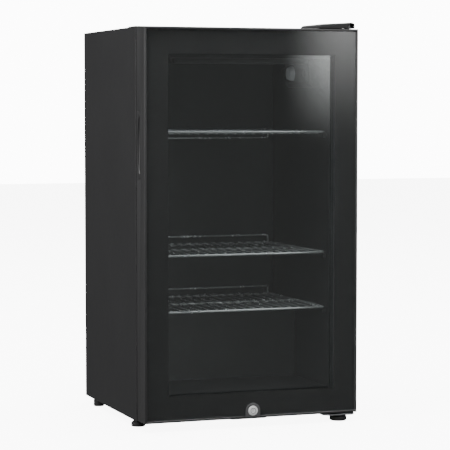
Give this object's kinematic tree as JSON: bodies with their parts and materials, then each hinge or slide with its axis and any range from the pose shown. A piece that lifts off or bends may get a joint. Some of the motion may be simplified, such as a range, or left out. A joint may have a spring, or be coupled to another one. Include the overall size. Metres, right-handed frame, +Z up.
{
  "type": "undercounter refrigerator",
  "caption": "Undercounter drinks refrigerator: dark steel cabinet on short feet, full-height glass door with a lock at its foot, recessed edge grip and wire shelves.",
  "frame": {"origin": "centre of the bounding box's footprint, on the plane that the feet stand on", "axes": "+Z up, -Y the way the door faces, +X towards the hinge side"},
  "size_m": [0.475, 0.45, 0.8478],
  "materials": {
    "black_paint": "satin",
    "black_plastic": "satin",
    "liner_plastic": "satin",
    "glass": "polished",
    "spacer_metal": "satin",
    "gasket_rubber": "matte",
    "chrome_wire": "polished",
    "lock_metal": "polished",
    "zinc_steel": "satin",
    "foot_rubber": "matte",
    "foam": "matte",
    "copper_pipe": "satin",
    "aluminium": "satin",
    "compressor_enamel": "gloss",
    "white_plastic": "satin",
    "light_lens": "satin"
  },
  "bodies": {
    "cabinet": {"back_panel": "zinc_steel", "base_member": "zinc_steel", "bottom_hinge_bracket": "zinc_steel", "bottom_hinge_pin": "zinc_steel", "bottom_panel": "black_paint", "compressor": "compressor_enamel", "compressor_bay_panel": "zinc_steel", "compressor_mount_1": "foot_rubber", "compressor_mount_2": "foot_rubber", "compressor_mount_3": "foot_rubber", "compressor_mount_4": "foot_rubber", "condenser_coil_left": "copper_pipe", "condenser_coil_right": "copper_pipe", "discharge_pipe": "copper_pipe", "drain_tube": "white_plastic", "drier_feed_pipe": "copper_pipe", "evaporating_tray": "black_plastic", "evaporator": "aluminium", "filter_drier": "copper_pipe", "foam_insulation": "foam", "foot_rear_left": "foot_rubber", "foot_rear_right": "foot_rubber", "hinge_cover": "black_plastic", "hinge_washer": "white_plastic", "inner_liner": "liner_plastic", "light_housing": "black_plastic", "light_lens": "light_lens", "mains_inlet_gland": "black_plastic", "relay_box": "black_plastic", "side_panel_left": "black_paint", "side_panel_right": "black_paint", "strike_plate": "zinc_steel", "suction_pipe": "copper_pipe", "thermostat_housing": "black_plastic", "top_front_trim": "black_plastic", "top_hinge_bracket": "zinc_steel", "top_hinge_pin": "zinc_steel", "top_panel": "black_paint"},
    "door": {"door_rail_bottom": "black_plastic", "door_rail_top": "black_plastic", "door_stile_left": "black_plastic", "door_stile_right": "black_plastic", "grip_insert": "black_plastic", "outer_glass": "glass", "glazing_spacer": "spacer_metal", "inner_glass": "glass", "door_gasket": "gasket_rubber", "door_bush_top": "white_plastic", "door_bush_bottom": "white_plastic", "lock_bezel": "black_plastic"},
    "lock_barrel": {"lock_barrel": "lock_metal"},
    "lock_bolt": {"lock_bolt": "zinc_steel"},
    "shelf_top": {"shelf_top": "chrome_wire"},
    "shelf_middle": {"shelf_middle": "chrome_wire"},
    "shelf_bottom": {"shelf_bottom": "chrome_wire"},
    "thermostat_knob": {"thermostat_knob": "white_plastic"},
    "light_switch": {"light_switch": "black_plastic"},
    "foot_front_left": {"foot_front_left": "foot_rubber"},
    "foot_front_right": {"foot_front_right": "foot_rubber"}
  },
  "joints": [
    {"name": "door_hinge", "type": "hinge", "parent": "cabinet", "child": "door", "pos_m": [0.2215, -0.204, 0.4263], "axis": [0, 0, 1], "range_deg": [0, 120]},
    {"name": "lock_turn", "type": "hinge", "parent": "door", "child": "lock_barrel", "pos_m": [0, -0.224, 0.0345], "axis": [0, 1, 0], "range_deg": [0, 90]},
    {"name": "lock_bolt_drop", "type": "slide", "parent": "door", "child": "lock_bolt", "axis": [0, 0, -1], "range_m": [0, 0.007]},
    {"name": "shelf_top_slide", "type": "slide", "parent": "cabinet", "child": "shelf_top", "axis": [0, -1, 0], "range_m": [0, 0.022]},
    {"name": "shelf_middle_slide", "type": "slide", "parent": "cabinet", "child": "shelf_middle", "axis": [0, -1, 0], "range_m": [0, 0.022]},
    {"name": "shelf_bottom_slide", "type": "slide", "parent": "cabinet", "child": "shelf_bottom", "axis": [0, -1, 0], "range_m": [0, 0.022]},
    {"name": "thermostat_dial", "type": "hinge", "parent": "cabinet", "child": "thermostat_knob", "pos_m": [0.1752, 0, 0.743], "axis": [1, 0, 0], "range_deg": [0, 270]},
    {"name": "light_rocker", "type": "hinge", "parent": "cabinet", "child": "light_switch", "pos_m": [0.1772, -0.066, 0.743], "axis": [0, 0, 1], "range_deg": [0, 14]},
    {"name": "foot_left_screw", "type": "slide", "parent": "cabinet", "child": "foot_front_left", "axis": [0, 0, -1], "range_m": [0, 0.008]},
    {"name": "foot_right_screw", "type": "slide", "parent": "cabinet", "child": "foot_front_right", "axis": [0, 0, -1], "range_m": [0, 0.004]}
  ],
  "couplings": [
    {"joint": "lock_bolt_drop", "follows": "lock_turn", "m_per_rad": 0.004456}
  ]
}
